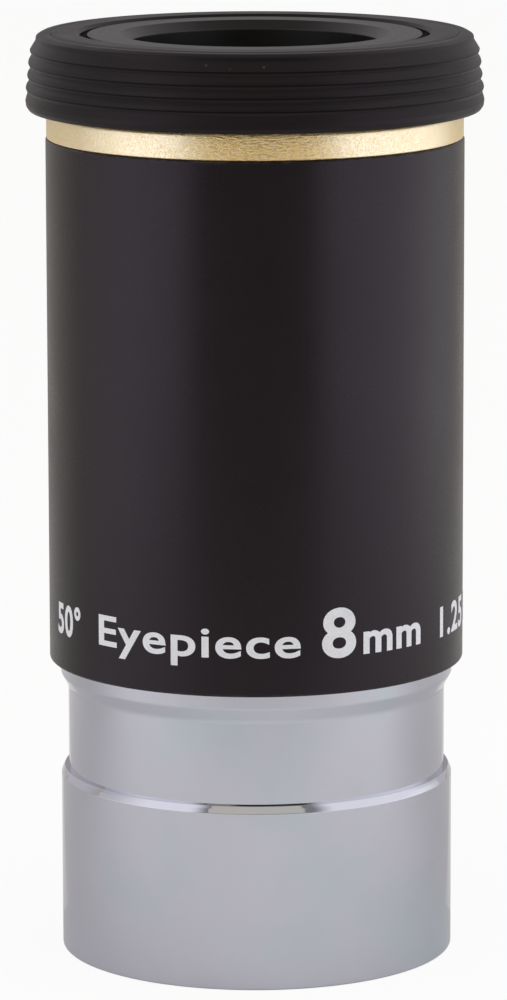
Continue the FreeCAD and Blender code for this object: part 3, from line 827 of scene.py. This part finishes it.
def eyecup_skirt():
    """The skirt, folded down: rolled rim on top and five slightly conical ribs outside."""
    r_web = R_FLANGE + 0.01
    section = [
        (r_web, 73.40, 0.10),
        (r_web, Z_CUP - 0.08, 0.05),
        (r_web + 0.24, Z_CUP - 0.01, 0.40),
        (16.98, Z_CUP, 0.50),
        (17.42, Z_CUP - 0.26, 0.16),
        (17.45, Z_CUP - 0.58, 0.30),
        (RIBS[0][1], RIBS[0][0], 0.11),
    ]
    for (rib_z, rib_r), (groove_z, groove_r), (next_z, next_r) in zip(RIBS, GROOVES, RIBS[1:]):
        section += [
            (rib_r - 0.035, rib_z - 0.13, 0.10),
            (groove_r, groove_z, 0.05),
            (next_r - 0.06, next_z + 0.24, 0.30),
            (next_r, next_z, 0.11),
        ]
    section += [
        (R_LIP - 0.05, Z_LIP + 0.34, 0.30),
        (R_LIP - 0.28, Z_LIP, 0.20),
        (17.25, Z_LIP, 0.12),
        (16.90, 73.40, 0.40),
    ]
    section = eased(section, support=0.03)
    part = lathe("eyecup_skirt_ribbed", section, even_angles(384), sharp=70.0)
    place(part, "eyecup_fold", mat_rubber, "eyecup_skirt")


def eyecup_neck():
    """The thin wall between seat and skirt, which on the real eyecup stretches as the skirt is
    raised; here it is one fixed shape on no moving body.
    """
    z_low, z_high, steps = 70.60, 73.46, 28
    inner, outer = [], []
    for k in range(steps + 1):
        t = k / steps
        flare = 0.70 * ramp(t, 0.0, 0.34)
        z = z_low + (z_high - z_low) * t
        inner.append((15.60 + flare, z))
        outer.append((15.96 + flare * 0.95, z))
    part = lathe("eyecup_neck", outer + inner[::-1], even_angles(320), sharp=60.0)
    part.data.materials.append(mat_rubber)
    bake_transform(part)


trim_ring()
eye_cap()
eyecup_seat()
eyecup_skirt()
eyecup_neck()

# ---------------------------------------------------------------------------
# Printed marks: thin raised ink on the body, in the plain built-in typeface
# ---------------------------------------------------------------------------

# name, text, left and right bearing (degrees from the front, + to the viewer's right),
# low and high height (mm), thickening of the strokes
MARKS = [
    ("mark_field", "50°", -71.0, -56.5, 26.90, 29.60, 0.026),
    ("mark_word", "Eyepiece", -48.0, 12.0, 26.30, 29.55, 0.017),
    ("mark_focal_number", "8", 17.9, 27.9, 26.83, 30.88, 0.024),
    ("mark_focal_unit", "mm", 30.2, 51.0, 26.94, 28.75, 0.026),
    ("mark_barrel_size", "1.25 in", 61.0, 94.5, 26.88, 29.40, 0.024),
]
INK_TOP, INK_FOOT = 0.022, -0.03  # from the body's surface, mm
BEND_STEP = 0.22  # width of the strips that follow the body's curve, mm


def text_mesh(name, text, weight):
    """Flat, slightly extruded text as a mesh."""
    curve = bpy.data.curves.new(name + "_source", "FONT")
    curve.body = text
    curve.size = 1.0
    curve.resolution_u = 6
    curve.extrude = 0.01
    curve.offset = weight
    curve.space_character = 1.08
    source = new_object(name + "_source", curve)
    bpy.context.view_layer.update()
    depsgraph = bpy.context.evaluated_depsgraph_get()
    evaluated = source.evaluated_get(depsgraph)
    mesh = bpy.data.meshes.new_from_object(evaluated, depsgraph=depsgraph)
    bpy.data.objects.remove(source)
    bpy.data.curves.remove(curve)
    mesh.name = name
    mesh.materials.clear()
    return mesh


def mark(name, text, left, right, low, high, weight):
    """Text stretched to its place and wrapped on the body."""
    mesh = text_mesh(name, text, weight)
    co = np.array([v.co for v in mesh.vertices], float)
    least, most = co.min(0), co.max(0)
    arc = R_BODY * math.radians(right - left)
    co[:, 0] = (co[:, 0] - least[0]) / (most[0] - least[0]) * arc
    co[:, 1] = low + (co[:, 1] - least[1]) / (most[1] - least[1]) * (high - low)
    co[:, 2] = np.where(co[:, 2] > 0, INK_TOP, INK_FOOT)
    mesh.vertices.foreach_set("co", co.ravel())
    bm = bmesh.new()
    bm.from_mesh(mesh)
    bmesh.ops.remove_doubles(bm, verts=bm.verts, dist=1e-5)
    for k in range(1, int(arc / BEND_STEP) + 1):
        bmesh.ops.bisect_plane(
            bm, geom=bm.verts[:] + bm.edges[:] + bm.faces[:], dist=1e-6,
            plane_co=(k * BEND_STEP, 0, 0), plane_no=(1, 0, 0),
        )
    bmesh.ops.triangulate(bm, faces=[f for f in bm.faces if len(f.verts) > 4])
    for v in bm.verts:
        bearing = math.radians(left) + v.co.x / R_BODY
        r = R_BODY + v.co.z
        v.co = Vector((r * math.sin(bearing), -r * math.cos(bearing), v.co.y)) * MM
    bmesh.ops.recalc_face_normals(bm, faces=bm.faces)
    bm.to_mesh(mesh)
    bm.free()
    mesh.shade_smooth()
    mesh.set_sharp_from_angle(angle=math.radians(30))
    place(new_object(name, mesh), "main_body", mat_ink)


for row in MARKS:
    mark(*row)

# ---------------------------------------------------------------------------
# Studio, in metres: pale floor, lit cloths left and right, white surround
# ---------------------------------------------------------------------------


def sheet_object(name, bm, material):
    mesh = bpy.data.meshes.new(name)
    bm.to_mesh(mesh)
    bm.free()
    mesh.shade_smooth()
    mesh.materials.append(material)
    return new_object(name, mesh)


def pale_floor():
    mat = bpy.data.materials.new("pale_floor")
    n = Nodes(mat)
    where = n.coords()
    paper = n.noise(where, scale=60.0, detail=4.0, rough=0.6)
    x, y, _ = n.split(where)
    # the light on the sheet falls off to the front and to the back, except on the
    # strip right behind the object; the camera itself sees it pale all round
    far = n.ease(y, span=(-0.05, -0.27), to=(1.0, 0.42))
    back = n.times(
        n.ease(y, span=(-0.03, 0.035), to=(1.0, 0.79)),
        n.ease(y, span=(0.045, 0.11), to=(1.0, 1.20)),
    )
    strip_half, strip_spread = 0.026, 0.22  # half width at y = 0, and its growth with y
    half = n.plus(n.times(y, strip_spread), strip_half)
    edge = n.minus(n.maths("ABSOLUTE", x), half)
    strip = n.times(
        n.ease(edge, span=(-0.008, 0.008), to=(1.0, 0.0)),
        n.remap(y, span=(0.10, 0.60), to=(1.0, 0.45)),
    )
    strip = n.times(strip, n.remap(y, span=(0.0, 0.01)))
    lit = n.maths("MAXIMUM", n.maths("MINIMUM", far, back), strip)
    seen = n.add("LightPath", out="Is Camera Ray")
    white = n.mix(paper, base=(0.86, 0.86, 0.86), over=(0.89, 0.89, 0.89))
    dimmed = n.mix(lit, base=(0.02, 0.018, 0.016), over=white)
    sheet = n.add("BsdfDiffuse", {"Color": n.mix(seen, base=dimmed, over=white)})
    lift = n.add("Emission", {"Color": (1.0, 1.0, 1.0), "Strength": 1.0})
    lift_share = 0.92  # of plain white, in what the camera sees
    shown = n.add("MixShader", {0: n.times(seen, lift_share), 1: sheet, 2: lift})
    # seen from below the sheet is clear
    under = n.add("NewGeometry", out="Backfacing")
    clear = n.add("BsdfTransparent")
    n.node("OutputMaterial", {0: n.add("MixShader", {0: under, 1: shown, 2: clear})})
    return mat


def studio_floor():
    """A round sheet, open under the barrel's bore so that light reaches inside."""
    radius, hole, z, rings, segs = 3.0, 13.4 * MM, -0.00002, 40, 96
    bm = bmesh.new()
    rows = []
    for k in range(rings + 1):
        r = hole + (radius - hole) * (k / rings) ** 1.6  # rings are closer near the hole
        spokes = [TURN * s / segs for s in range(segs)]
        rows.append([bm.verts.new((r * math.cos(a), r * math.sin(a), z)) for a in spokes])
    for near, far in zip(rows, rows[1:]):
        for s in range(segs):
            e = (s + 1) % segs
            bm.faces.new((near[s], far[s], far[e], near[e]))
    sheet_object("studio_floor", bm, pale_floor())


def studio_world():
    world = bpy.data.worlds.new("studio")
    scene.world = world
    n = Nodes(world)
    dx, dy, dz = n.split(n.coords("Generated"))
    # directions in degrees: bearing from the front, azimuth without its sign, height
    bearing = n.bearing(dx, dy)
    azimuth = n.maths("ABSOLUTE", bearing)
    height = n.degrees("ARCSINE", dz)

    def squared_offset(value, centre, half):
        return n.maths("POWER", n.maths("DIVIDE", n.minus(value, centre), half), 2.0)

    # the camera and its stand are a dark patch in the front of the room
    patch = n.plus(
        squared_offset(bearing, centre=9.0, half=25.0),
        squared_offset(height, centre=11.0, half=9.0),
    )
    front = n.ease(patch, span=(0.6, 1.3), to=(0.05, 0.42))
    opposite = n.ease(azimuth, span=(158.0, 172.0), to=(0.60, 0.38))
    rear = n.ease(height, span=(40.0, 65.0), to=(opposite, 0.10))
    behind = n.ease(azimuth, span=(95.0, 125.0))
    level = n.remap(behind, span=(0.0, 1.0), to=(front, rear))
    overhead_level, belt_level = 0.10, 0.66
    overhead = n.ease(height, span=(52.0, 75.0))
    level = n.maths("MAXIMUM", level, n.times(overhead, overhead_level))
    # a bright belt all round, above the horizon
    belt = n.times(
        n.ease(height, span=(17.0, 26.0)), n.ease(height, span=(52.0, 68.0), to=(1.0, 0.0))
    )
    level = n.maths("MAXIMUM", level, n.times(belt, belt_level))
    room = n.mix(behind, base=(1.0, 0.93, 0.80), over=(1.0, 0.95, 0.96))
    around = n.add("Background", {"Color": room, "Strength": level})
    plain = n.add("Background", {"Color": (1.0, 1.0, 1.0), "Strength": 1.0})
    sees = n.add("LightPath", out="Is Camera Ray")
    n.node("OutputWorld", {0: n.add("MixShader", {0: sees, 1: around, 2: plain})})


def tent_wall(name, x, back, level, lean):
    """A lit white cloth beside the object, unseen by the camera. back is its rear end in y;
    lean moves the fade of its front end towards the back, higher up."""
    front, tall, bow, cols, rows = -0.30, 0.40, 0.10, 24, 12
    bm = bmesh.new()
    grid = []
    for j in range(rows + 1):
        grid.append([
            bm.verts.new((
                x * (1 - bow * math.cos(math.pi * i / cols) ** 2),
                front + (back - front) * i / cols,
                tall * j / rows,
            ))
            for i in range(cols + 1)
        ])
    for low, high in zip(grid, grid[1:]):
        for i in range(cols):
            bm.faces.new((low[i], low[i + 1], high[i + 1], high[i]))
    mat = bpy.data.materials.new(name)
    n = Nodes(mat)
    _, y, z = n.split(n.coords())
    shift = n.remap(z, span=(0.08, 0.13), to=(0.0, lean))
    fade = n.times(
        n.ease(n.minus(y, shift), span=(front, front + 0.10), to=(0.25, 1.0)),
        n.ease(y, span=(back - 0.12, back), to=(1.0, 0.55)),
    )
    fade = n.times(fade, n.ease(z, span=(0.035, 0.070), to=(1.0, 0.74)))
    glow = n.add("Emission", {"Color": (1.0, 0.985, 1.0), "Strength": n.times(fade, level)})
    n.node("OutputMaterial", {0: glow})
    obj = sheet_object(name, bm, mat)
    obj.visible_camera = False
    obj.visible_shadow = False


def key_light():
    """A large soft light overhead, aimed at the foot of the object."""
    light = bpy.data.lights.new("key_overhead", "AREA")
    light.shape = "RECTANGLE"
    light.size = light.size_y = 0.9
    light.energy = 2.1
    obj = new_object("key_overhead", light)
    obj.location = (0.0, -0.05, 0.95)
    obj.rotation_mode = "QUATERNION"
    obj.rotation_quaternion = (-Vector((0.0, -0.05, 0.95))).to_track_quat("-Z", "Y")
    obj.visible_camera = False
    obj.visible_glossy = False


def camera():
    """A long lens in front, looking slightly down."""
    look_down, roll = 10.523, -0.14  # degrees
    data = bpy.data.cameras.new("camera")
    data.sensor_width = 36.0
    data.lens = 201.93
    obj = new_object("camera", data)
    obj.location = (-0.19 * MM, -445.57 * MM, 119.36 * MM)
    tilt = Matrix.Rotation(math.radians(90 - look_down), 3, "X")
    obj.rotation_mode = "XYZ"
    obj.rotation_euler = (tilt @ Matrix.Rotation(math.radians(roll), 3, "Z")).to_euler("XYZ")
    scene.camera = obj


studio_floor()
studio_world()
tent_wall("tent_left", x=-0.19, back=0.04, level=1.38, lean=0.0)
tent_wall("tent_right", x=0.19, back=0.15, level=1.36, lean=0.045)
key_light()
camera()
scene.view_settings.view_transform = "Standard"
scene.view_settings.look = "None"
